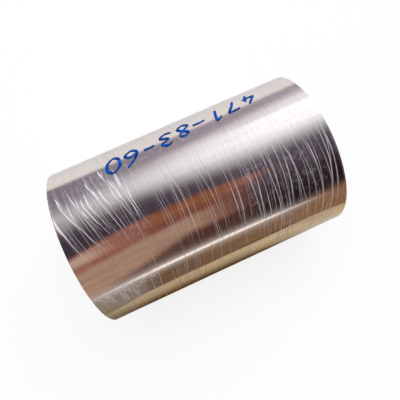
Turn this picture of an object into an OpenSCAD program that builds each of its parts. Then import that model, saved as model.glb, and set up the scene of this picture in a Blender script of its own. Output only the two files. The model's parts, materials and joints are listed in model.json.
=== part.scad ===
// A roll of thin beryllium copper strip, bound in clear stretch film and lying on its side.
// Millimetres. The roll's axis runs along X, and the origin is midway along it on the surface it lies on.

/* [Strip roll] */
// Width of the strip, which is the length of the roll
strip_width = 200; // [60:5:400]
// Diameter over the wound strip, without the film
roll_diameter = 130; // [112:1:200]
// Diameter of the open bore
bore_diameter = 76; // [40:1:84]

/* [Turns on the ends] */
// Groups of turns that can be told apart on each end
turn_groups = 18; // [8:1:30]
// Furthest that a group of turns stands in from the end
turn_scatter = 0.6; // [0.1:0.1:1.5]
// Depth of the fine line between two groups
turn_line_depth = 0.3; // [0.1:0.05:0.6]
// Width of the fine line between two groups
turn_line_width = 0.3; // [0.1:0.05:0.5]

/* [Film wrap] */
// Thickness of the wound film, all its layers together
film_thickness = 0.5; // [0.2:0.1:1.5]
// How far the film reaches in over each end
lip_width = 9; // [3:0.5:12]

/* [Hidden] */
$fn = 180;

roll_radius = roll_diameter / 2;
bore_radius = bore_diameter / 2;
film_radius = roll_radius + film_thickness;
half_width = strip_width / 2;
// The turns under the lip are flush with the end, so that the film lies flat on them.
lip_radius = roll_radius - lip_width;
loose_build_up = lip_radius - bore_radius;
// Successive groups step by the golden angle, so that no two neighbours stand alike.
golden_angle = 137.508;
// Share of its width by which a group may be thicker or thinner than the mean.
group_variation = 0.3;

// How far the start of turn group i strays from even spacing, fading out at the bore and under the lip.
function group_stray(i) = group_variation * sin(i * golden_angle) * sin(180 * i / turn_groups);

// Radius where turn group i begins, counted outwards from the bore.
function group_radius(i) = bore_radius + loose_build_up * (i + group_stray(i)) / turn_groups;

// How far turn group i stands in from the end, on the end that the phase picks.
function group_inset(i, phase) = turn_scatter * (1 + sin(i * golden_angle + phase)) / 2;

// Half profile of one end as [radius, inset] points from the bore out to the rim.
function end_profile(phase) = concat(
    [[bore_radius, group_inset(0, phase)]],
    [for (i = [1 : turn_groups])
        let (before = group_inset(i - 1, phase), after = i < turn_groups ? group_inset(i, phase) : 0)
        each [
            [group_radius(i) - turn_line_width / 2, before],
            [group_radius(i), max(before, after) + turn_line_depth],
            [group_radius(i) + turn_line_width / 2, after]
        ]],
    [[roll_radius, 0]]
);

// Lays a shape that was turned about Z along X, resting on the surface.
module lay_down() {
    translate([0, 0, film_radius]) rotate([0, 90, 0]) children();
}

// The wound strip: one solid with its bore, and its turns showing on both ends.
module strip_roll() {
    left_end = end_profile(0);
    right_end = end_profile(90);
    last = len(right_end) - 1;
    color([0.80, 0.66, 0.53])
        lay_down()
            rotate_extrude()
                polygon(concat(
                    [for (p = left_end) [p[0], -half_width + p[1]]],
                    [for (k = [last : -1 : 0]) [right_end[k][0], half_width - right_end[k][1]]]
                ));
}

// Half profile of the film along one end: a round fold over the rim, then a lip on the end.
module film_fold() {
    translate([roll_radius, half_width]) intersection() {
        circle(r = film_thickness, $fn = 48);
        square(film_thickness);
    }
    translate([lip_radius, half_width]) square([lip_width, film_thickness]);
}

// The clear film: a tight sleeve round the strip, folded in over both rims.
module stretch_film() {
    color([0.93, 0.94, 0.95, 0.45])
        lay_down()
            rotate_extrude() {
                translate([roll_radius, -half_width]) square([film_thickness, strip_width]);
                film_fold();
                mirror([0, 1]) film_fold();
            }
}

strip_roll();
stretch_film();
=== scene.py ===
"""A roll of beryllium copper strip, bound in clear stretch film and numbered by hand, on a pale floor.

Lengths are in metres, with +X along the roll's axis and +Z up. A place on the film is given as
(along, turn): along is measured over the barrel from its middle and carries on over the rim and in
across the end, and turn is the angle round the axis from straight up towards +Y.
"""

import json
import math
import random

import bpy
import numpy as np
from bpy.props import FloatProperty, FloatVectorProperty, IntProperty, PointerProperty, StringProperty
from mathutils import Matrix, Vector


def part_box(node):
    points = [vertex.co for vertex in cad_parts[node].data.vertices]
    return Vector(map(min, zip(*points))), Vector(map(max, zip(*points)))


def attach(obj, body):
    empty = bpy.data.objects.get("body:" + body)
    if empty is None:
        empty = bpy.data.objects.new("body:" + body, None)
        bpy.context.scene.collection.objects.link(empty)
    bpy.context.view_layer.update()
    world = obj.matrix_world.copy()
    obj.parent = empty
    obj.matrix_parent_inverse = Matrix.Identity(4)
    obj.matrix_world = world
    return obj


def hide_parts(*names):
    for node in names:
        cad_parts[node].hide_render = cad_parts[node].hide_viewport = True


bl_info = {
    "name": "Strip Roll",
    "version": (1, 0, 0),
    "blender": (4, 5, 0),
    "location": "View3D > Sidebar > Strip Roll",
    "description": "Winds a roll of thin copper alloy strip and binds it in clear stretch film",
    "category": "Add Mesh",
}

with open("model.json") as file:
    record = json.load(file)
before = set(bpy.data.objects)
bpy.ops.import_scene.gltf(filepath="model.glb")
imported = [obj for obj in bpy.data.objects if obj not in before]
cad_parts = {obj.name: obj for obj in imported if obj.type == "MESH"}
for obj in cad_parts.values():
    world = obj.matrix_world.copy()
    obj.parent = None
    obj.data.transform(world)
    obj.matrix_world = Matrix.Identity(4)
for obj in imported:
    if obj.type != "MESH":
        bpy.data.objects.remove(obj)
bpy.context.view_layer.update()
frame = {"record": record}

MM = 0.001
FULL_TURN = 2 * math.pi

STRIP_LOW, STRIP_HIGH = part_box("strip_roll")
FILM_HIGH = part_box("stretch_film")[1]
AXIS_HEIGHT = (STRIP_LOW.z + STRIP_HIGH.z) / 2
STRIP_RADIUS = (STRIP_HIGH.z - STRIP_LOW.z) / 2
HALF_WIDTH = STRIP_HIGH.x
FILM_ROOM = FILM_HIGH.z - STRIP_HIGH.z
MOUNTS = {mount["name"]: mount for mount in frame["record"]["mounts"]}
BORE_RADIUS = MOUNTS["bore"]["dims"]["r_mm"] * MM

# The film turns over the rim from this far before it to as far past it.
FOLD = 0.5 * FILM_ROOM
# Where the flat part of the film's lip starts, in from the rim.
LIP_START = 1 * MM
# How far the highest pleats stand over the flat film.
PLEAT_HEIGHT = 0.25 * MM
# Heights over the strip of a crease's foot and of its top, on which the marker lies.
CREASE_FOOT = 0.48 * FILM_ROOM
CREASE_TOP = 0.62 * FILM_ROOM
# How thick the marker lies.
INK_THICKNESS = 0.03 * MM
# How far a crease on the barrel stays from the rims.
RIM_MARGIN = 1 * MM
# Length of barrel before each rim over which the film starts to gather.
GATHER = 4 * MM
# How far the gathered film leads on round the rim in all, and how soon after it starts most of that is done.
SWIRL_LEAD = 18 * MM
SWIRL_LENGTH = 5 * MM
# How far the slanted rings of creases stand to each side of their middle.
SWAY = 19 * MM
# Slack places in the film: along in mm and turn in degrees, the spread of each, and how milky the film is.
SLACK_PLACES = (
    (50, -15, 33, 19, 0.018),
    (-80, -51, 24, 9, 0.18),
    (-74, 14, 30, 10, 0.03),
    (10, 158, 50, 22, 0.04),
    (-60, -128, 30, 25, 0.03),
    (-45, 29, 60, 7, 0.02),
)


class StripSizes(bpy.types.PropertyGroup):
    """How the strip is wound."""

    pitch: FloatProperty(
        name="Turn group pitch",
        description="Radial distance between two groups of turns that can be told apart",
        default=0.5 * MM, unit="LENGTH",
    )
    scatter: FloatProperty(
        name="Turn scatter", description="Furthest that a group of turns stands in from the end",
        default=0.55 * MM, unit="LENGTH",
    )
    line_depth: FloatProperty(
        name="Line depth", description="Depth of the fine line between two groups of turns",
        default=0.12 * MM, unit="LENGTH",
    )
    lean: FloatProperty(
        name="Lean", description="Furthest that a turn's edge leans, as a slope", default=0.12,
    )
    segments: IntProperty(name="Segments", description="Straight steps in one turn of the mesh", default=240)
    metal: FloatVectorProperty(
        name="Metal colour", description="Colour of the bright rolled strip",
        default=(0.80, 0.70, 0.62), subtype="COLOR", size=3,
    )


class FilmSizes(bpy.types.PropertyGroup):
    """How the clear film lies on the roll."""

    lift: FloatProperty(
        name="Lift", description="Mean height of the film over the strip",
        default=0.22 * MM, unit="LENGTH",
    )
    lip_width: FloatProperty(
        name="Lip width", description="How far the film reaches in over each end",
        default=9 * MM, unit="LENGTH",
    )
    crease_count: IntProperty(
        name="Creases", description="Long creases round the whole roll", default=110,
    )
    hairline_count: IntProperty(
        name="Hairlines", description="Fine creases round the whole roll", default=260,
    )
    pleat_count: IntProperty(name="Pleats", description="Gathered pleats on each end", default=130)
    crease_width: FloatProperty(
        name="Crease width", description="Mean width of a crease", default=0.55 * MM, unit="LENGTH",
    )
    haze: FloatProperty(
        name="Haze", description="Share of the light that the flat film scatters",
        default=0.005, subtype="FACTOR",
    )
    clear: FloatVectorProperty(
        name="Film colour", description="Colour that creased film scatters",
        default=(0.92, 0.91, 0.95), subtype="COLOR", size=3,
    )


class MarkerSizes(bpy.types.PropertyGroup):
    """The numbers written on the film."""

    numbers: StringProperty(name="Numbers", description="Digits and dashes to write", default="471-83-60")
    height: FloatProperty(
        name="Height", description="Height of a digit", default=16 * MM, unit="LENGTH",
    )
    spacing: FloatProperty(
        name="Spacing", description="Distance from one digit to the next", default=14 * MM, unit="LENGTH",
    )
    stroke: FloatProperty(
        name="Stroke", description="Width of the pen's line", default=2.4 * MM, unit="LENGTH",
    )
    ink: FloatVectorProperty(
        name="Ink", description="Colour of the marker", default=(0.0, 0.058, 0.31), subtype="COLOR", size=3,
    )


class StageSizes(bpy.types.PropertyGroup):
    """The camera and the studio."""

    camera_place: FloatVectorProperty(
        name="Camera", description="Where the camera stands",
        default=(-0.0209, -0.0520, 0.3755), subtype="TRANSLATION", unit="LENGTH", size=3,
    )
    camera_target: FloatVectorProperty(
        name="Target", description="Point on the floor that the camera looks at",
        default=(0.0058, 0.0065, 0), subtype="TRANSLATION", unit="LENGTH", size=3,
    )
    focal_length: FloatProperty(
        name="Focal length", description="Focal length for a frame 36 mm wide, in millimetres", default=33.08,
    )
    floor_size: FloatProperty(name="Floor", description="Side of the floor", default=6, unit="LENGTH")
    lamp_place: FloatVectorProperty(
        name="Lamp", description="Where the soft lamp overhead hangs",
        default=(0.1, 0.3, 1.3), subtype="TRANSLATION", unit="LENGTH", size=3,
    )
    lamp_size: FloatProperty(name="Lamp size", description="Side of the lamp", default=1.2, unit="LENGTH")
    lamp_power: FloatProperty(name="Lamp power", description="Power of the lamp", default=14, unit="POWER")


def film_point(along, turn, lift):
    """Points at a height over the strip's surface, as an array of x, y and z."""
    along, turn, lift = np.broadcast_arrays(along, turn, lift)
    past_rim = np.abs(along) - HALF_WIDTH
    side = np.sign(along)
    tilt = math.radians(45) * (1 + np.clip(past_rim / FOLD, -1, 1))
    radius = STRIP_RADIUS - np.maximum(past_rim, 0) + lift * np.cos(tilt)
    x = side * (np.minimum(np.abs(along), HALF_WIDTH) + lift * np.sin(tilt))
    return np.stack([x, radius * np.sin(turn), AXIS_HEIGHT + radius * np.cos(turn)], axis=-1)


def grid_faces(rows, columns, closed):
    """Faces of a grid of points in row order, with its columns closed into a ring if asked."""
    steps = columns if closed else columns - 1
    row, column = np.meshgrid(np.arange(rows - 1), np.arange(steps), indexing="ij")
    after = (column + 1) % columns
    near, far = row * columns, (row + 1) * columns
    return np.stack([near + column, near + after, far + after, far + column], axis=-1).reshape(-1, 4)


def add_piece(name, points, faces, material, replaces=None):
    """Makes a smooth mesh piece that rides on the roll."""
    mesh = bpy.data.meshes.new(name)
    mesh.from_pydata([tuple(p) for p in np.asarray(points).reshape(-1, 3)], [], [tuple(f) for f in faces])
    mesh.polygons.foreach_set("use_smooth", [True] * len(mesh.polygons))
    mesh.materials.append(material)
    mesh.validate()
    piece = bpy.data.objects.new(name, mesh)
    bpy.context.scene.collection.objects.link(piece)
    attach(piece, "root")
    if replaces:
        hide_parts(replaces)
    return piece


class Socket:
    """An output socket whose arithmetic adds Math nodes to its tree."""

    def __init__(self, tree, socket):
        self.tree = tree
        self.socket = socket

    def __add__(self, other):
        return self.tree.maths("ADD", self, other)

    def __sub__(self, other):
        return self.tree.maths("SUBTRACT", self, other)

    def __rsub__(self, other):
        return self.tree.maths("SUBTRACT", other, self)

    def __mul__(self, other):
        return self.tree.maths("MULTIPLY", self, other)

    def __truediv__(self, other):
        return self.tree.maths("DIVIDE", self, other)

    def __pow__(self, other):
        return self.tree.maths("POWER", self, other)

    __radd__ = __add__
    __rmul__ = __mul__


class Tree:
    """A node tree that nodes are added to by type, settings and inputs."""

    def __init__(self, owner):
        owner.use_nodes = True
        self.nodes = owner.node_tree.nodes
        self.links = owner.node_tree.links
        self.nodes.clear()

    def add(self, kind, settings=None, inputs=None, output=0):
        """Adds a node, sets it up, feeds its sockets by name or number, and gives one output."""
        node = self.nodes.new(kind)
        for name, value in (settings or {}).items():
            setattr(node, name, value)
        for name, value in (inputs or {}).items():
            if isinstance(value, Socket):
                self.links.new(value.socket, node.inputs[name])
            else:
                node.inputs[name].default_value = value
        return Socket(self, node.outputs[output]) if node.outputs else node

    def maths(self, operation, *values):
        """Adds a Math node."""
        return self.add("ShaderNodeMath", {"operation": operation}, dict(enumerate(values)))

    def mix(self, factor, first, second, blend="MIX"):
        """Mixes two colours, each of them a socket or its red, green and blue."""
        settings = {"data_type": "RGBA", "blend_type": blend}
        first, second = (c if isinstance(c, Socket) else (*c, 1) for c in (first, second))
        return self.add("ShaderNodeMix", settings, {0: factor, 6: first, 7: second}, output=2)

    def step(self, value, low, high, shape="SMOOTHSTEP"):
        """Goes from 0 to 1, and no further, as the value goes from low to high."""
        return self.add("ShaderNodeMapRange", {"interpolation_type": shape}, {0: value, 1: low, 2: high})

    def between(self, value, low, high, soft):
        """Is 1 from low to high, with soft edges."""
        rise = self.step(value, low - soft, low + soft)
        fall = self.step(value, high - soft, high + soft)
        return rise * (1 - fall)

    def bell(self, value, centre, spread):
        """Is 1 at the centre and falls away on both sides."""
        offset = (value - centre) / spread
        return self.maths("EXPONENT", 0 - offset * offset)

    def noise(self, vector, scale, detail=2.0, roughness=0.5):
        """Adds a Noise Texture."""
        inputs = {"Vector": vector, "Scale": scale, "Detail": detail, "Roughness": roughness}
        return self.add("ShaderNodeTexNoise", {}, inputs)

    def place(self, stretch=(1, 1, 1)):
        """Object coordinates, scaled by axis."""
        place = self.add("ShaderNodeTexCoord", output="Object")
        return self.add("ShaderNodeVectorMath", {"operation": "MULTIPLY"}, {0: place, 1: stretch})

    def split(self, vector):
        """The x, y and z of a vector."""
        node = self.nodes.new("ShaderNodeSeparateXYZ")
        self.links.new(vector.socket, node.inputs[0])
        return [Socket(self, output) for output in node.outputs]

    def join(self, x, y, z=0):
        """The vector of three values."""
        return self.add("ShaderNodeCombineXYZ", {}, {0: x, 1: y, 2: z})

    def stored(self, name):
        """The number that a mesh stores under a name at each point."""
        return self.add("ShaderNodeAttribute", {"attribute_name": name}, output="Fac")

    def relief(self, height, depth):
        """The normal over fine relief of a depth in metres."""
        return self.add("ShaderNodeBump", {}, {"Strength": 1.0, "Distance": depth, "Height": height})

    def show(self, inputs):
        """Adds a Principled shader and makes it the material's surface."""
        shader = self.add("ShaderNodeBsdfPrincipled", {}, inputs)
        self.add("ShaderNodeOutputMaterial", {}, {"Surface": shader})


def new_material(name):
    """A material with an empty tree."""
    material = bpy.data.materials.new(name)
    return material, Tree(material)


def rolled_metal(colour, name, roughness):
    """Bright strip with fine rolling lines along its length, which run round the roll."""
    material, tree = new_material(name)
    lines = tree.noise(tree.place((900, 9, 9)), 1.0, detail=4.0, roughness=0.7)
    clouds = tree.noise(tree.place(), 300.0, detail=4.0, roughness=0.65)
    hair = tree.noise(tree.place((600, 110, 110)), 1.0, detail=2.0)
    grain = tree.noise(tree.place(), 750.0, detail=2.0)
    tree.show({
        "Base Color": tree.mix(tree.step(lines, 0.3, 0.7), [c * 0.90 for c in colour], colour),
        "Metallic": 1.0,
        "Roughness": roughness + clouds * 0.06 + lines * 0.04,
        "Normal": tree.relief(hair + grain * 0.5, 0.02 * MM),
    })
    return material


def turn_edges(colour):
    """The ends of the roll: slit edges of many turns, seen as fine lines round the axis."""
    material, tree = new_material("turn_edges")
    x, y, z = tree.split(tree.place())
    height = z - AXIS_HEIGHT
    radius = (y * y + height * height) ** 0.5
    # These two change only slowly round the axis, and have no seam.
    across, upright = y / radius * 0.04, height / radius * 0.04
    fine = tree.noise(tree.join(radius * 6000, across * 6, upright * 6), 1.0, detail=2.0)
    rings = tree.noise(tree.join(radius * 900 + x * 60, across, upright), 1.0, detail=5.0, roughness=0.8)
    edge = (colour[0], colour[1] * 0.97, colour[2] * 0.92)
    worn = (colour[0] * 0.82, colour[1] * 0.75, colour[2] * 0.67)
    tree.show({
        "Base Color": tree.mix(tree.step(rings, 0.30, 0.66), worn, edge),
        "Metallic": 1.0,
        "Roughness": 0.12 + fine * 0.12,
        "Normal": tree.relief(fine + rings, 0.016 * MM),
    })
    return material


def clear_film(colour, haze):
    """Clear film that clings in some places and is hazy in others."""
    material, tree = new_material("clear_film")
    milk = tree.stored("milk")
    thick = tree.step(milk, 0.08, 0.20)
    blots = tree.step(tree.noise(tree.place(), 300.0, detail=5.0, roughness=0.75), 0.51, 0.66)
    folds = tree.step(tree.noise(tree.place((550, 70, 70)), 1.0, detail=4.0, roughness=0.6), 0.42, 0.60)
    streaks = tree.step(tree.noise(tree.place((700, 25, 25)), 1.0, detail=3.0), 0.5, 0.8)
    speckle = blots * tree.maths("MINIMUM", milk * 5, 0.13) * (1 - thick) + folds * milk * 1.3 * thick
    cover = milk * 0.45 + speckle + haze * (0.4 + streaks * 2 + blots * 2)
    tree.show({"Base Color": (*colour, 1), "Roughness": 0.18, "Alpha": tree.maths("MINIMUM", cover, 1.0)})
    return material


def creased_film(colour):
    """Film bunched into a crease, with its own milkiness and its own paleness at each point. Its milkiness
    also carries painted highlights: creases made paler where they catch the light, and the painted flares and
    sparkles.
    """
    material, tree = new_material("creased_film")
    dull = (0.20, 0.165, 0.15)
    shade = tree.mix(tree.stored("tone"), dull, colour)
    tree.show({"Base Color": shade, "Roughness": 0.3, "Alpha": tree.stored("milk")})
    return material


def marker_ink(colour):
    """Blue marker that is thinner in some places along its strokes."""
    material, tree = new_material("marker_ink")
    wear = tree.step(tree.noise(tree.place(), 330.0, detail=2.0), 0.36, 0.64)
    shade = tree.mix(wear, [c * 0.45 for c in colour], [c * 1.5 for c in colour])
    tree.show({"Base Color": shade, "Roughness": 0.4 + wear * 0.2, "Specular IOR Level": 0.03})
    return material


def smooth_knots(rng, count, steps, low, high):
    """A smooth run of random values, with the given steps between knots."""
    knots = rng.uniform(low, high, count // steps + 3)
    place = np.arange(count) / steps
    whole = place.astype(int)
    part = (1 - np.cos(math.pi * (place - whole))) / 2
    return knots[whole] * (1 - part) + knots[whole + 1] * part


class EndSpiral:
    """Points and faces of one end of the roll, where the turns show as one long spiral."""

    def __init__(self, side, sizes, lip_width, rng):
        self.side = side
        self.points = []
        self.faces = []
        steps = sizes.segments
        depth = STRIP_RADIUS - BORE_RADIUS
        groups = round(depth / sizes.pitch)
        pitch = depth / groups
        # The spiral starts and stops this far from the bore and from the rim.
        tail = 0.3 * pitch
        edge_count = (groups - 1) * steps + 1
        edge = np.arange(edge_count)
        turn = FULL_TURN * edge / steps
        radius = BORE_RADIUS + tail + (depth - 2 * tail) * edge / (edge_count - 1)
        # The turns come flush just before the film's lip, which lies flat on the rest.
        flush = np.clip((STRIP_RADIUS - lip_width - radius) / (2 * MM), 0, 1)
        ledges = smooth_knots(rng, edge_count, round(steps * 3.3), 0, 1)
        wander = smooth_knots(rng, edge_count, round(steps * 0.7), 0, 1)
        inset = sizes.scatter * flush * (0.65 * ledges + 0.35 * wander)
        # Each turn's edge leans a little, so that it catches the light in its own way.
        lean = sizes.lean * pitch * smooth_knots(rng, edge_count, round(steps * 1.3), -1, 1)
        before = np.concatenate([np.full(steps, inset[0]), np.maximum(inset + lean, 0)[:-steps]])
        half_line = 0.1 * pitch
        ring_turn = turn[:steps]
        self.bore = self.put(BORE_RADIUS, ring_turn, inset[0])
        inner = self.put(radius - half_line, turn, before)
        line = self.put(radius, turn, np.maximum(inset, before) + sizes.line_depth)
        outer = self.put(radius + half_line, turn, inset)
        self.rim = self.put(STRIP_RADIUS, ring_turn, 0)
        # Where the spiral's last turn starts.
        last = edge_count - steps - 1
        for j in range(edge_count - 1):
            self.face(inner[j], inner[j + 1], line[j + 1], line[j])
            self.face(line[j], line[j + 1], outer[j + 1], outer[j])
            if j < last:
                self.face(outer[j], outer[j + 1], inner[j + steps + 1], inner[j + steps])
        for j in range(steps):
            after = (j + 1) % steps
            self.face(self.bore[j], self.bore[after], inner[j + 1], inner[j])
            self.face(outer[last + j], outer[last + j + 1], self.rim[after], self.rim[j])
        self.face(self.bore[0], inner[0], line[0], outer[0], inner[steps])
        end = edge_count - 1
        self.face(outer[last], inner[end], line[end], outer[end], self.rim[0])

    def put(self, radius, turn, inset):
        """Adds points in from the end, and gives their numbers."""
        radius, turn, inset = np.broadcast_arrays(radius, turn, inset)
        x = self.side * (HALF_WIDTH - inset)
        start = len(self.points)
        self.points.extend(zip(x, radius * np.sin(turn), AXIS_HEIGHT + radius * np.cos(turn)))
        return list(range(start, len(self.points)))

    def face(self, *corners):
        """Adds a face that looks out of the end."""
        self.faces.append(corners if self.side < 0 else corners[::-1])


class STRIPROLL_OT_wind_strip(bpy.types.Operator):
    """Wind the strip: a spiral on each end, the barrel and the bore"""

    bl_idname = "striproll.wind_strip"
    bl_label = "Wind Strip"

    def execute(self, context):
        sizes = context.scene.strip_sizes
        lip_width = context.scene.film_sizes.lip_width
        rng = np.random.default_rng(11)
        ends = [EndSpiral(side, sizes, lip_width, rng) for side in (-1, 1)]
        points = ends[0].points + ends[1].points
        shift = len(ends[0].points)
        faces = ends[0].faces + [tuple(c + shift for c in face) for face in ends[1].faces]
        # Places of the three finishes in the piece's list of materials.
        barrel, edges, bore = range(3)
        finishes = [edges] * len(faces)
        for finish, name, direction in ((barrel, "rim", 1), (bore, "bore", -1)):
            near, far = (getattr(end, name) for end in ends)
            faces += self.wall(points, near, [c + shift for c in far], direction)
            finishes += [finish] * (len(faces) - len(finishes))
        metal = rolled_metal(sizes.metal, "rolled_strip", roughness=0.05)
        piece = add_piece("wound_strip", points, faces, metal, "strip_roll")
        piece.data.materials.append(turn_edges(sizes.metal))
        piece.data.materials.append(rolled_metal(sizes.metal, "bore_strip", roughness=0.25))
        piece.data.polygons.foreach_set("material_index", finishes)
        piece.data.polygons.foreach_set("use_smooth", [finish != edges for finish in finishes])
        piece.data.set_sharp_from_angle(angle=math.radians(40))
        return {"FINISHED"}

    def wall(self, points, near, far, direction, rows=24):
        """Joins two rings of points by rows of faces, which look out of the metal."""
        columns = len(near)
        start, stop = np.array([points[c] for c in near]), np.array([points[c] for c in far])
        rings = [near]
        for row in range(1, rows):
            rings.append(list(range(len(points), len(points) + columns)))
            points.extend(map(tuple, start + (stop - start) * row / rows))
        rings.append(far)
        faces = []
        for ring, beyond in zip(rings, rings[1:]):
            for j in range(columns):
                after = (j + 1) % columns
                faces.append((ring[j], beyond[j], beyond[after], ring[after])[::direction])
        return faces


def store(piece, name, values):
    """Stores a number at each point of a piece, which its material reads by name."""
    layer = piece.data.attributes.new(name, "FLOAT", "POINT")
    layer.data.foreach_set("value", np.asarray(values, np.float32).ravel())


def angle_from(turn, place):
    """How far a turn angle lies past a place, the short way round."""
    return (turn - place + math.pi) % FULL_TURN - math.pi


def swirl(reach):
    """Turn angle by which the gathered film leads on as it comes to the rim and goes in over the end.

    reach is measured from the rim, and is negative on the barrel. The creases run almost round the roll
    where the gathering starts, and almost straight towards the axis at the lip's edge.
    """
    return SWIRL_LEAD * (1 - np.exp(-(reach + GATHER) / SWIRL_LENGTH)) / STRIP_RADIUS


class STRIPROLL_OT_wrap_film(bpy.types.Operator):
    """Wrap the clear film round the barrel and gather it over both ends"""

    bl_idname = "striproll.wrap_film"
    bl_label = "Wrap Film"

    def execute(self, context):
        sizes = context.scene.film_sizes
        rng = np.random.default_rng(23)
        barrel = np.linspace(0, HALF_WIDTH - 2 * FOLD, 52)
        over = HALF_WIDTH + np.array([-FOLD, -FOLD / 2, 0, FOLD / 2, FOLD])
        lip = HALF_WIDTH + np.linspace(LIP_START, sizes.lip_width, 10)
        half = np.concatenate([barrel, over, lip])
        along = np.concatenate([-half[:0:-1], half])
        turn = np.linspace(0, FULL_TURN, 640, endpoint=False)
        grid_along, grid_turn = np.meshgrid(along, turn, indexing="ij")
        gathers = sum(self.pleats(side, grid_along, grid_turn, sizes, rng) for side in (-1, 1))
        lift = sizes.lift + self.ripples(grid_along, grid_turn, rng) + gathers * PLEAT_HEIGHT
        lift = np.clip(lift, 0.12 * FILM_ROOM, 0.8 * FILM_ROOM)
        # Goes from 0 at the rim to 1 at the lip's inner edge.
        reach = np.clip((np.abs(grid_along) - HALF_WIDTH) / sizes.lip_width, 0, 1)
        ragged = np.sign(grid_along) * reach * self.ragged_edge(grid_turn, rng)
        points = film_point(grid_along + ragged, grid_turn, lift)
        faces = grid_faces(len(along), len(turn), closed=True)
        piece = add_piece("film_sleeve", points, faces[:, ::-1], clear_film(sizes.clear, sizes.haze),
                          "stretch_film")
        # The hem along the lip's inner edge and the pleats on the lip are milkier than the flat film.
        hem = 0.15 * (reach > 0.93)
        pulled = gathers * 0.07 * np.clip(reach * sizes.lip_width / (2 * MM), 0.1, 1)
        store(piece, "milk", np.clip(self.clouds(grid_along, grid_turn, rng) + pulled + hem, 0, 0.8))
        return {"FINISHED"}

    def ripples(self, along, turn, rng):
        """Height of shallow waves that run almost straight round the roll."""
        wave_height = 0.008 * MM
        total = np.zeros_like(along)
        for _ in range(14):
            length = rng.uniform(6, 14) * MM
            twist = rng.integers(-9, 4)
            phase = rng.uniform(0, FULL_TURN)
            total += np.sin(FULL_TURN * along / length + twist * turn + phase)
        return total * wave_height

    def pleats(self, side, along, turn, sizes, rng):
        """Height of the pleats at one end, as a share of the highest."""
        reach = side * along - HALF_WIDTH
        led = turn - side * swirl(np.maximum(reach, -GATHER))
        total = np.zeros_like(turn)
        for _ in range(sizes.pleat_count):
            width = rng.uniform(0.4, 1.3) * MM / STRIP_RADIUS
            offset = angle_from(led, rng.uniform(0, FULL_TURN))
            total += rng.uniform(0.2, 1.0) * np.exp(-((offset / width) ** 2))
        return np.clip(total, 0, 1) * np.clip((reach + GATHER) / (GATHER + 2 * MM), 0, 1)

    def clouds(self, along, turn, rng):
        """Where the film lies slack and milky: in soft clouds all round, and at a few thicker places."""
        total = np.zeros_like(along)
        for _ in range(90):
            spread_along, spread_turn = rng.uniform(5, 18) * MM, rng.uniform(0.08, 0.35)
            offset = (along - rng.uniform(-1, 1) * HALF_WIDTH) / spread_along
            milk = rng.uniform(0, 0.016)
            offset_turn = angle_from(turn, rng.uniform(0, FULL_TURN)) / spread_turn
            total += milk * np.exp(-offset ** 2 - offset_turn ** 2)
        for place, angle, spread_along, spread_turn, milk in SLACK_PLACES:
            offset = (along - place * MM) / (spread_along * MM)
            offset_turn = angle_from(turn, math.radians(angle)) / math.radians(spread_turn)
            total += milk * np.exp(-offset ** 4 - offset_turn ** 4)
        return total

    def ragged_edge(self, turn, rng):
        """How far the lip's inner edge wanders in and out."""
        wander = 0.5 * MM
        total = np.zeros_like(turn)
        for waves in (3, 5, 8, 13, 21, 34):
            total += np.sin(waves * turn + rng.uniform(0, FULL_TURN)) / waves ** 0.5
        return total * wander


class Ribbons:
    """Many thin ribbons that lie on the film, gathered into one mesh.

    The profile gives each point across a ribbon: its share of the half width, its height over the strip
    and its share of the milkiness.
    """

    def __init__(self, profile):
        self.profile = profile
        self.points = []
        self.faces = []
        self.milk = []
        self.tone = []

    def lay(self, along, turn, half_width, milk=1.0, tone=1.0):
        """Lays one ribbon on its centre line."""
        round_way = STRIP_RADIUS * turn
        step_along, step_round = np.gradient(along), np.gradient(round_way)
        length = np.hypot(step_along, step_round)
        across_along, across_round = -step_round / length, step_along / length
        rows = []
        for share, lift, _ in self.profile:
            offset = share * half_width
            rows.append(film_point(along + across_along * offset,
                                   turn + across_round * offset / STRIP_RADIUS, lift))
        rows = np.stack(rows, axis=1)
        start = len(self.points)
        self.points.extend(rows.reshape(-1, 3))
        shares = [share for _, _, share in self.profile]
        self.milk.extend(np.outer(np.broadcast_to(milk, along.shape), shares).ravel())
        self.tone.extend([tone] * (len(along) * len(self.profile)))
        self.faces.extend(grid_faces(len(along), len(self.profile), closed=False) + start)

    def make(self, name, material, slot=None):
        """Makes the piece."""
        piece = add_piece(name, self.points, self.faces, material)
        store(piece, "milk", self.milk)
        store(piece, "tone", self.tone)


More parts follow.
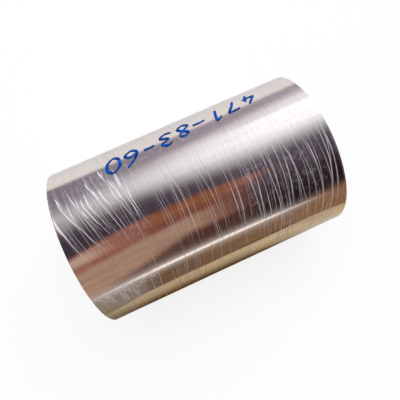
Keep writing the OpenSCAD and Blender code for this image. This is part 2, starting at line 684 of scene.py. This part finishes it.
class Creases:
    """Lays creases on the film, drawn at random from one seed.

    A crease's centre is its place along the barrel, and its middle is its turn angle.
    """

    def __init__(self, sizes):
        self.sizes = sizes
        self.rng = np.random.default_rng(5)
        self.ribbons = Ribbons([(-1, CREASE_FOOT, 0.5), (0, CREASE_TOP, 1.0), (1, CREASE_FOOT, 0.5)])

    def scatter(self):
        """Long creases and hairlines all along the roll and all round it."""
        uniform = self.rng.uniform
        count = self.sizes.crease_count
        for index in range(count):
            centre = HALF_WIDTH * (2 * (index + uniform(0, 1)) / count - 1)
            self.crease(centre, uniform(0, FULL_TURN), uniform(25, 75), strength=0.85, tone=uniform(0.4, 1))
        for _ in range(self.sizes.hairline_count):
            centre = uniform(-1, 1) * HALF_WIDTH
            self.crease(centre, uniform(0, FULL_TURN), uniform(8, 45), strength=0.45, tone=uniform(0.35, 1))

    def strong_rows(self):
        """A row of strong creases at the right, where the film is slack, and a row under the bright line."""
        uniform, normal = self.rng.uniform, self.rng.normal
        at_right = np.arange(33, 98, 3.9) * MM
        for centre in at_right:
            middle = math.radians(normal(-24, 7))
            self.crease(centre + normal(0, 1.0) * MM, middle, uniform(24, 44), strength=1.0, tone=0.9)
        under_line = np.arange(-62, 96, 7.5) * MM
        for centre in under_line:
            middle = math.radians(normal(-53, 3))
            self.crease(centre + normal(0, 2.5) * MM, middle, uniform(9, 20), strength=0.9,
                        tone=uniform(0.4, 0.8))

    def flared_rows(self):
        """A row of flared creases at the left, each with a painted highlight where it opens, and a denser row
        of fine ones among them.
        """
        uniform, normal = self.rng.uniform, self.rng.normal
        flared = np.arange(-98, -42, 3.5) * MM
        for centre in flared:
            middle = math.radians(normal(10.5, 5))
            along, turn = self.crease(centre, middle, uniform(15, 28), strength=0.9, tone=1, kink=7)
            # Each flared crease gets a painted highlight where it opens.
            self.paint_glint_flare(along, turn)
        fine = np.arange(-98, -46, 2.1) * MM
        for centre in fine:
            middle = math.radians(normal(5, 6))
            self.crease(centre, middle, uniform(8, 20), strength=0.55, tone=1, kink=4)

    def slant(self, centre):
        """Turn angle at which the slanted rings of creases lie furthest to the right."""
        leftness = np.clip((-30 * MM - centre) / (60 * MM), 0, 1)
        return math.radians(-10 - 55 * leftness)

    def painted_glint(self, along, turn):
        """Painted highlight: how much paler a crease is painted, as though it caught the light, most on some
        sides of the roll, and less between them.
        """
        leftness = np.clip((20 * MM - along) / (80 * MM), 0, 1)
        front = np.cos(3 * (turn - np.radians(-22 + 31 * leftness)))
        under = 0.75 * np.cos(3 * (turn - math.radians(-57)))
        behind = np.clip(2 * np.cos(turn - math.radians(60)) - 1, 0, 1)
        return 0.35 - 0.22 * behind + 0.65 * np.clip(np.maximum(front, under), 0, 1)

    def crease(self, centre, middle, reach, strength, tone, kink=0):
        """Lays one crease on a slanted ring round the roll, and gives its centre line.

        It runs reach degrees to each side of its middle, where it may bend by a kink of some degrees.
        """
        rng = self.rng
        reach = math.radians(reach)
        point_spacing = math.radians(1.6)
        count = max(10, int(reach * 2 / point_spacing))
        way = np.linspace(-1, 1, count)
        turn = middle + way * reach
        furthest = self.slant(centre) + rng.normal(0, 0.14)
        # One crease in about twelve strays far from its ring.
        drift = math.tan(math.radians(rng.normal(0, 6 if rng.uniform() < 0.08 else 2)))
        bend = math.tan(math.radians(kink * rng.uniform(0.3, 1.6)))
        along = centre + SWAY * (np.cos(turn - furthest) - math.cos(middle - furthest))
        along = along - STRIP_RADIUS * (drift * (turn - middle) - bend * np.hypot(turn - middle, 0.06))
        along = along + smooth_knots(rng, count, 7, -0.3, 0.3) * MM
        along = np.clip(along, -HALF_WIDTH + RIM_MARGIN, HALF_WIDTH - RIM_MARGIN)
        taper = np.clip((1 - np.abs(way)) * 5, 0, 1) ** 0.7
        half_width = 0.5 * self.sizes.crease_width * strength * rng.uniform(0.6, 1.2) * taper
        half_width = np.maximum(half_width * smooth_knots(rng, count, 6, 0.6, 1.4), 0.04 * MM)
        milk = strength * rng.uniform(0.45, 0.8) * smooth_knots(rng, count, 9, 0.45, 1.15)
        # The milkiness also carries a painted highlight: creases are painted paler where they would catch the
        # light.
        milk = np.clip(milk * self.painted_glint(along, turn), 0.05, 0.95)
        self.ribbons.lay(along, turn, half_width, milk, tone)
        return along, turn

    def paint_glint_flare(self, along, turn):
        """Lays a painted highlight at the middle of a crease, where it opens: a bundle of pale streaks that
        stand in for the glint there.
        """
        uniform, normal = self.rng.uniform, self.rng.normal
        count = 16
        way = np.linspace(0, 1, len(turn))
        body = uniform(0.2, 1)
        for _ in range(2 + int(body * 6)):
            heart = uniform(0.36, 0.64)
            start, stop = heart - uniform(0.06, 0.20), heart + uniform(0.08, 0.26)
            part = np.linspace(max(start, 0), min(stop, 1), count)
            glint_turn = np.interp(part, way, turn)
            skew = math.tan(math.radians(normal(0, 5)))
            glint_along = np.interp(part, way, along)
            glint_along = glint_along - skew * STRIP_RADIUS * (glint_turn - glint_turn[count // 2])
            glint_along = glint_along + normal(0, 0.7) * body * MM
            glint_along = np.clip(glint_along, -HALF_WIDTH + RIM_MARGIN, HALF_WIDTH)
            fade = np.sin(np.linspace(0.05, math.pi - 0.05, count))
            half_width = uniform(0.12, 0.5) * MM * fade ** 1.5
            self.ribbons.lay(glint_along, glint_turn, half_width, uniform(0.35, 0.9) * fade ** 0.4)

    def paint_sparkles(self):
        """Painted sparkles: pale specks that stand in for glints of light where the slack film at the lower
        left is crumpled.
        """
        uniform = self.rng.uniform
        way = np.linspace(-1, 1, 6)
        for _ in range(80):
            heading = uniform(0, math.pi)
            length = uniform(0.4, 1.8) * MM
            along = uniform(-97, -52) * MM + way * length * math.cos(heading)
            middle = math.radians(self.rng.normal(-44.5, 1.7))
            turn = middle + way * length * math.sin(heading) / STRIP_RADIUS
            self.ribbons.lay(along, turn, uniform(0.12, 0.4) * MM * np.cos(way * 1.4), uniform(0.3, 0.9))

    def gather(self, side):
        """A crease of the gathered film, from the barrel over the rim and in across the end."""
        uniform = self.rng.uniform
        start = -GATHER * uniform(0.3, 1)
        stop = self.sizes.lip_width - 0.5 * MM
        reach = np.concatenate([np.linspace(start, -FOLD, 12), [0, FOLD], np.linspace(LIP_START, stop, 8)])
        lead = self.rng.normal(1, 0.35) * (swirl(reach) - swirl(start))
        turn = uniform(0, FULL_TURN) + side * lead
        rise = np.clip(0.5 + reach / (3 * MM), 0.08, 1)
        half_width = 0.5 * self.sizes.crease_width * uniform(0.15, 0.6) * rise
        along = side * (HALF_WIDTH + reach)
        self.ribbons.lay(along, turn, half_width, milk=uniform(0.15, 0.5) * rise, tone=uniform(0.3, 1))


class STRIPROLL_OT_crease_film(bpy.types.Operator):
    """Lay the long creases, the painted flares of light where they open, the painted sparkles and the gathers
    at both ends
    """

    bl_idname = "striproll.crease_film"
    bl_label = "Crease Film"

    def execute(self, context):
        sizes = context.scene.film_sizes
        creases = Creases(sizes)
        creases.scatter()
        creases.strong_rows()
        creases.flared_rows()
        creases.paint_sparkles()
        for side in (-1, 1):
            for _ in range(sizes.pleat_count):
                creases.gather(side)
        creases.ribbons.make("film_creases", creased_film(sizes.clear), "clear_film")
        return {"FINISHED"}


# Each digit's pen strokes in a cell one unit high, as points that a smooth line goes through.
DIGIT_STROKES = {
    "0": [[(0.30, 1.00), (0.06, 0.66), (0.08, 0.20), (0.28, 0.00), (0.50, 0.28), (0.50, 0.74), (0.26, 1.00)]],
    "1": [[(0.10, 0.76), (0.34, 1.00)], [(0.34, 1.00), (0.32, 0.50), (0.27, 0.00)]],
    "3": [[(0.04, 0.90), (0.30, 1.00), (0.48, 0.78), (0.20, 0.54), (0.52, 0.30), (0.32, 0.02), (0.02, 0.10)]],
    "4": [[(0.36, 1.00), (0.20, 0.66), (0.03, 0.36)], [(0.03, 0.36), (0.30, 0.36), (0.58, 0.40)],
          [(0.46, 0.66), (0.42, 0.32), (0.36, 0.00)]],
    "6": [[(0.46, 1.00), (0.16, 0.62), (0.06, 0.22), (0.28, 0.00), (0.50, 0.22), (0.32, 0.44), (0.08, 0.28)]],
    "7": [[(0.04, 0.92), (0.30, 0.95), (0.56, 0.98)], [(0.56, 0.98), (0.34, 0.50), (0.20, 0.00)]],
    "8": [[(0.48, 0.86), (0.28, 1.00), (0.10, 0.80), (0.30, 0.56), (0.50, 0.26), (0.28, 0.00), (0.06, 0.22),
           (0.26, 0.50), (0.50, 0.82)]],
    "-": [[(0.06, 0.46), (0.30, 0.52), (0.54, 0.50)]],
}


def smooth_line(points, steps):
    """Points along a smooth curve through the given ones."""
    points = np.array(points, float)
    padded = np.vstack([2 * points[0] - points[1], points, 2 * points[-1] - points[-2]])
    line = []
    for a, b, c, d in zip(padded, padded[1:], padded[2:], padded[3:]):
        for t in np.arange(steps) / steps:
            line.append(0.5 * (2 * b + (c - a) * t + (2 * a - 5 * b + 4 * c - d) * t ** 2
                               + (3 * b - a - 3 * c + d) * t ** 3))
    line.append(points[-1])
    return np.array(line)


class STRIPROLL_OT_write_numbers(bpy.types.Operator):
    """Write the numbers on the film with a marker"""

    bl_idname = "striproll.write_numbers"
    bl_label = "Write Numbers"

    def execute(self, context):
        sizes = context.scene.marker_sizes
        hand = random.Random(4)
        foot, top = CREASE_TOP, CREASE_TOP + INK_THICKNESS
        ribbons = Ribbons([(-1, foot, 1), (-0.7, top, 1), (0.7, top, 1), (1, foot, 1)])
        # The line starts near the right end and climbs as it goes, with the digits' feet towards +Y.
        start_along, start_turn, climb = 70 * MM, math.radians(50.5), math.radians(-0.085) / MM
        # The digits are this much wider than in their cells, and lean by this slope.
        widening, lean = 1.25, 0.12
        for place, digit in enumerate(sizes.numbers):
            left = start_along - place * sizes.spacing
            base = start_turn + climb * (start_along - left) + math.radians(hand.uniform(-0.8, 0.8))
            size = sizes.height * hand.uniform(0.9, 1.08)
            for stroke in DIGIT_STROKES[digit]:
                line = smooth_line(stroke, 8) * size
                along = left - line[:, 0] * widening - line[:, 1] * lean
                turn = base - line[:, 1] / STRIP_RADIUS
                way = np.linspace(0, 1, len(line))
                ends = np.sqrt(np.clip(np.minimum(way, 1 - way) * 14, 0.12, 1))
                heading = np.arctan2(np.gradient(line[:, 1]), np.gradient(line[:, 0]))
                chisel = 0.55 + 0.5 * np.abs(np.sin(heading - math.radians(35)))
                ribbons.lay(along, turn, 0.5 * sizes.stroke * ends * chisel)
        ribbons.make("marker_numbers", marker_ink(sizes.ink))
        return {"FINISHED"}


class Studio:
    """The soft studio that the metal mirrors: a bright window, a pale floor beyond and warm boards in front.

    turn is the direction across the roll, in degrees from straight up towards +Y, and slant is how far
    the direction leans along the roll. rightward goes from 0 to 1 over the slants that the barrel mirrors.
    """

    def __init__(self, tree):
        self.tree = tree
        across, beyond, self.above = tree.split(tree.add("ShaderNodeTexCoord", output="Generated"))
        self.turn = tree.maths("ARCTAN2", beyond, self.above) * math.degrees(1)
        self.slant = across / (beyond * beyond + self.above * self.above + 0.0001) ** 0.5
        self.rightward = tree.step(self.slant, -0.27, 0.43, "LINEAR")
        self.colour = self.wall()

    def paint(self, cover, colour, blend="MIX"):
        """Lays a colour over what is painted so far, as far as it covers."""
        self.colour = self.tree.mix(cover, self.colour, colour, blend)

    def wall(self):
        """The wall behind, over the far floor, darker towards its foot and towards the left."""
        tree, turn, rightward = self.tree, self.turn, self.rightward
        wall = tree.mix(rightward, (0.25, 0.23, 0.30), (0.46, 0.44, 0.55))
        deep = tree.mix(tree.step(turn, -58, -20), (0.016, 0.007, 0.012), (0.052, 0.038, 0.058))
        deep = tree.mix(tree.step(turn, -40, 0) * rightward, deep, (0.10, 0.086, 0.125))
        rise = 3 - tree.step(rightward, 0.25, 0.5) * 14 - tree.step(rightward, 0.5, 1.0) * 7
        dim = tree.mix(tree.step(turn, rise, 30) * (1 - rightward * 0.5), deep, (0.17, 0.155, 0.19))
        return tree.mix(tree.step(turn, 44, 66), dim, wall)

    def paint_window(self):
        """The window, wider and brighter towards the right, with a sharp edge near its top."""
        tree, turn, slant, rightward = self.tree, self.turn, self.slant, self.rightward
        lower = tree.step(turn, 13 - tree.step(rightward, 0.2, 0.75) * 17, 42 - rightward * 7)
        upper = 1 - tree.step(turn, 38 + rightward * 12, 66 + rightward * 20)
        sill = tree.step(turn, 57.2, 58.6) * (1 - tree.step(turn, 60, 70)) * tree.step(slant, 0.10, 0.34)
        strength = 0.29 + rightward * (2 - rightward) * 0.33 + tree.step(rightward, 0, 1) * 0.33
        gleam = tree.bell(turn, 59.0, 1.3) * tree.between(slant, -0.14, -0.05, 0.03) * 0.08
        window = lower * upper * (1 - sill * 0.3) * strength + gleam
        self.paint(1.0, tree.mix(window, (0, 0, 0), (1.30, 1.43, 1.60)), "ADD")

    def paint_ground(self):
        """The shaded ground under the boards."""
        tree, turn, slant = self.tree, self.turn, self.slant
        ground = tree.mix(tree.step(slant, -0.12, 0.04), (0.115, 0.064, 0.054), (0.09, 0.040, 0.030))
        self.paint((1 - tree.step(turn, -58, -44)) * (1 - tree.step(slant, 0.10, 0.28)), ground)

    def paint_boards(self):
        """The warm boards in front, with curved edges."""
        tree, turn, slant = self.tree, self.turn, self.slant
        leftward = tree.maths("MINIMUM", slant, 0.0)
        top = -4.5 - slant * slant * 120
        seam = -26.5 + leftward * 34
        foot = -53 + leftward * 110
        right_end = 1 - tree.step(slant - tree.step(turn, -32, -14) * 0.08, 0.12, 0.25)
        orange = tree.mix(tree.step(slant, 0.09, 0.20), (0.31, 0.122, 0.056), (0.30, 0.116, 0.086))
        red = tree.mix(tree.bell(turn, -15, 6.5), (0.22, 0.075, 0.056), orange)
        red = tree.mix(1 - tree.step(slant, -0.16, -0.05), red, (0.34, 0.15, 0.115))
        red_board = tree.step(top - turn, -1.5, 2.5) * tree.step(turn - foot, -4, 6) * right_end
        self.paint(red_board, red)
        left_part = tree.step(top - turn, 1, 6) * tree.step(turn - seam, 3, 9)
        self.paint(left_part * (1 - tree.step(slant, -0.28, -0.17)), (0.60, 0.44, 0.37))
        pale_board = tree.step(seam - turn, 0, 6) * tree.step(turn - foot, -3, 9)
        self.paint(pale_board * (1 - tree.step(slant, 0.0, 0.17)), (0.45, 0.31, 0.24))

    def paint_near_floor(self):
        """The near floor: grey at the left, then brown with a band of painted shadow at the tan board's edge,
        then a tan board with the shade under the roll.
        """
        tree, turn, slant = self.tree, self.turn, self.slant
        near = 1 - tree.step(turn, -90, -84 + tree.step(slant, 0.2, 0.42) * 13)
        brown = tree.mix(self.rightward, (0.145, 0.092, 0.052), (0.30, 0.162, 0.080))
        self.paint(near, tree.mix(tree.step(slant, -0.20, -0.145), (0.27, 0.225, 0.155), brown))
        # A painted shadow: a dark band on the near floor, just before the tan board.
        painted_shadow_band = tree.bell(turn, -114.5, 2.2) * tree.between(slant, 0.12, 0.27, 0.04) * 0.9
        self.paint(painted_shadow_band, (0.05, 0.015, 0.006))
        outer = tree.maths("MAXIMUM", tree.maths("ABSOLUTE", slant - 0.1) - 0.2, 0.0)
        tan_board = 1 - tree.step(turn + outer * outer * 400, -117.5, -115.5)
        tan = tree.mix(tree.step(slant, -0.30, -0.05), (0.47, 0.39, 0.27), (0.62, 0.51, 0.33))
        shade = tree.mix(tree.step(slant, -0.28, -0.12), (0.20, 0.145, 0.09), (0.11, 0.055, 0.015))
        shade = tree.mix(tree.step(slant, 0.18, 0.35), shade, (0.64, 0.59, 0.51))
        dusk = turn + tree.step(slant, 0.08, 0.25) * 12
        self.paint(tan_board, tree.mix(tree.step(dusk, -158, -118), shade, tan))

    def make_uneven(self):
        """Clouds everything a little, and streaks all that is in front along the roll."""
        tree, turn, slant = self.tree, self.turn, self.slant
        clouds = tree.noise(tree.join(turn * 0.3, slant * 2.5), 1.0, detail=3.0)
        streaks = tree.noise(tree.join(turn * 0.17, slant * 8), 1.0, detail=5.0, roughness=0.65)
        streaked = 1 + (streaks - 0.5) * 1.1 * (1 - tree.step(turn, -14, -4))
        self.paint(1.0, streaked * (0.80 + clouds * 0.40), "MULTIPLY")

    def paint_bright_line(self):
        """The glow along the floor's far edge in front, and the bright line in it."""
        tree, slant = self.tree, self.slant
        edge = self.turn + (slant - 0.04) * (slant - 0.04) * 35
        glow = tree.bell(edge, -81.2, 7.8) * tree.between(slant, -0.34, 0.30, 0.12)
        self.paint(glow * 0.62, (0.72, 0.68, 0.66))
        spread = 1.8 - tree.step(slant, 0.12, 0.3) * 0.6
        line = tree.bell(edge, -81.3, spread) * tree.between(slant, -0.25, 0.31, 0.13)
        self.paint(line * (0.70 + tree.step(slant, -0.2, -0.06) * 0.30), (1.65, 1.65, 1.70))

    def paint_far_floor(self):
        """The pale floor beyond, with a bowed edge, and the floor straight under the roll."""
        tree, turn, slant = self.tree, self.turn, self.slant
        floor = tree.mix(tree.bell(turn, 136, 18) * 0.72, (0.94, 0.97, 1.02), (0.72, 0.73, 0.76))
        bow = (slant - 0.08) * (slant - 0.08) * (15 + tree.step(slant, -0.1, 0.2) * 10)
        self.paint(tree.step(turn - tree.maths("MINIMUM", bow, 4.0), 88, 96.5), floor)
        self.paint(1 - tree.step(turn, -180, -168), (0.80, 0.80, 0.80))

    def paint_sides(self):
        """The sides, which the ends of the roll face: dim in the middle, bright overhead and pale below."""
        tree, above = self.tree, self.above
        lean = tree.maths("ABSOLUTE", self.slant) + tree.step(0 - above, 0.0, 0.15) * 0.95
        side = tree.mix(tree.step(above, -0.15, 0.30), (0.15, 0.125, 0.115), (2.6, 2.6, 2.7))
        side = tree.mix(1 - tree.step(above, -0.75, -0.45), side, (0.85, 0.80, 0.74))
        self.paint(tree.step(lean, 1.45, 2.2), side)


def studio_surround(world):
    """Shows the studio to the metal, and plain white to the camera."""
    tree = Tree(world)
    studio = Studio(tree)
    studio.paint_window()
    studio.paint_ground()
    studio.paint_boards()
    studio.paint_near_floor()
    studio.make_uneven()
    studio.paint_bright_line()
    studio.paint_far_floor()
    studio.paint_sides()
    to_camera = tree.add("ShaderNodeLightPath", output="Is Camera Ray")
    room = tree.add("ShaderNodeBackground", {}, {"Color": studio.colour, "Strength": 1.0})
    white = tree.add("ShaderNodeBackground", {}, {"Color": (1, 1, 1, 1), "Strength": 1.0})
    surround = tree.add("ShaderNodeMixShader", {}, {0: to_camera, 1: room, 2: white})
    tree.add("ShaderNodeOutputWorld", {}, {"Surface": surround})


def floor_material():
    """Matt white floor that keeps the shadow, and is white in the camera away from it."""
    material, tree = new_material("floor_paper")
    matt = {"Base Color": (0.9, 0.9, 0.9, 1), "Roughness": 0.9, "Specular IOR Level": 0.0}
    paper = tree.add("ShaderNodeBsdfPrincipled", {}, matt)
    glow = tree.add("ShaderNodeEmission", {}, {"Color": (1, 1, 1, 1), "Strength": 1.0})
    to_camera = tree.add("ShaderNodeLightPath", output="Is Camera Ray")
    x, y, _ = tree.split(tree.place())
    distance = (x * x + y * y) ** 0.5
    # Most of what the camera sees is plain white, and all of it is far from the roll.
    whiteness = 0.82 + tree.step(distance, 0.14, 0.55) * 0.18
    mixed = tree.add("ShaderNodeMixShader", {}, {0: to_camera * whiteness, 1: paper, 2: glow})
    tree.add("ShaderNodeOutputMaterial", {}, {"Surface": mixed})
    return material


class STRIPROLL_OT_set_stage(bpy.types.Operator):
    """Set the camera, the pale floor, the studio and the lamp"""

    bl_idname = "striproll.set_stage"
    bl_label = "Set Stage"

    def execute(self, context):
        sizes = context.scene.stage_sizes
        scene = context.scene
        lens = bpy.data.cameras.new("camera")
        lens.lens = sizes.focal_length
        lens.sensor_width = 36
        camera = bpy.data.objects.new("camera", lens)
        place = Vector(sizes.camera_place)
        camera.location = place
        camera.rotation_euler = (Vector(sizes.camera_target) - place).to_track_quat("-Z", "Y").to_euler()
        scene.collection.objects.link(camera)
        scene.camera = camera

        side = sizes.floor_size / 2
        corners = [(-side, -side, 0), (side, -side, 0), (side, side, 0), (-side, side, 0)]
        mesh = bpy.data.meshes.new("floor")
        mesh.from_pydata(corners, [], [(0, 1, 2, 3)])
        mesh.materials.append(floor_material())
        floor = bpy.data.objects.new("floor", mesh)
        floor.visible_glossy = False
        scene.collection.objects.link(floor)

        world = bpy.data.worlds.new("studio")
        scene.world = world
        studio_surround(world)

        light = bpy.data.lights.new("overhead", "AREA")
        light.size = sizes.lamp_size
        light.energy = sizes.lamp_power
        lamp = bpy.data.objects.new("overhead", light)
        lamp.location = sizes.lamp_place
        lamp.rotation_euler = (-lamp.location).to_track_quat("-Z", "Y").to_euler()
        lamp.visible_glossy = False
        lamp.visible_camera = False
        scene.collection.objects.link(lamp)
        scene.view_settings.view_transform = "Standard"
        return {"FINISHED"}


class STRIPROLL_PT_panel(bpy.types.Panel):
    """Lists the roll's pieces and its stage."""

    bl_idname = "STRIPROLL_PT_panel"
    bl_label = "Strip Roll"
    bl_space_type = "VIEW_3D"
    bl_region_type = "UI"
    bl_category = "Strip Roll"

    def draw(self, context):
        layout = self.layout
        for operator in OPERATORS:
            layout.operator(operator.bl_idname)
        for name, group in PROPERTY_GROUPS.items():
            box = layout.box()
            for key in group.__annotations__:
                box.prop(getattr(context.scene, name), key)


PROPERTY_GROUPS = {
    "strip_sizes": StripSizes,
    "film_sizes": FilmSizes,
    "marker_sizes": MarkerSizes,
    "stage_sizes": StageSizes,
}
OPERATORS = (
    STRIPROLL_OT_set_stage,
    STRIPROLL_OT_wind_strip,
    STRIPROLL_OT_wrap_film,
    STRIPROLL_OT_crease_film,
    STRIPROLL_OT_write_numbers,
)


def register():
    """Registers the sizes, the operators and the panel."""
    for name, group in PROPERTY_GROUPS.items():
        bpy.utils.register_class(group)
        setattr(bpy.types.Scene, name, PointerProperty(type=group))
    for operator in OPERATORS:
        bpy.utils.register_class(operator)
    bpy.utils.register_class(STRIPROLL_PT_panel)


def unregister():
    """Takes back what register did."""
    bpy.utils.unregister_class(STRIPROLL_PT_panel)
    for operator in reversed(OPERATORS):
        bpy.utils.unregister_class(operator)
    for name, group in PROPERTY_GROUPS.items():
        delattr(bpy.types.Scene, name)
        bpy.utils.unregister_class(group)


def main():
    """Builds the whole scene."""
    register()
    bpy.ops.striproll.set_stage()
    bpy.ops.striproll.wind_strip()
    bpy.ops.striproll.wrap_film()
    bpy.ops.striproll.crease_film()
    bpy.ops.striproll.write_numbers()


if __name__ == "__main__":
    main()
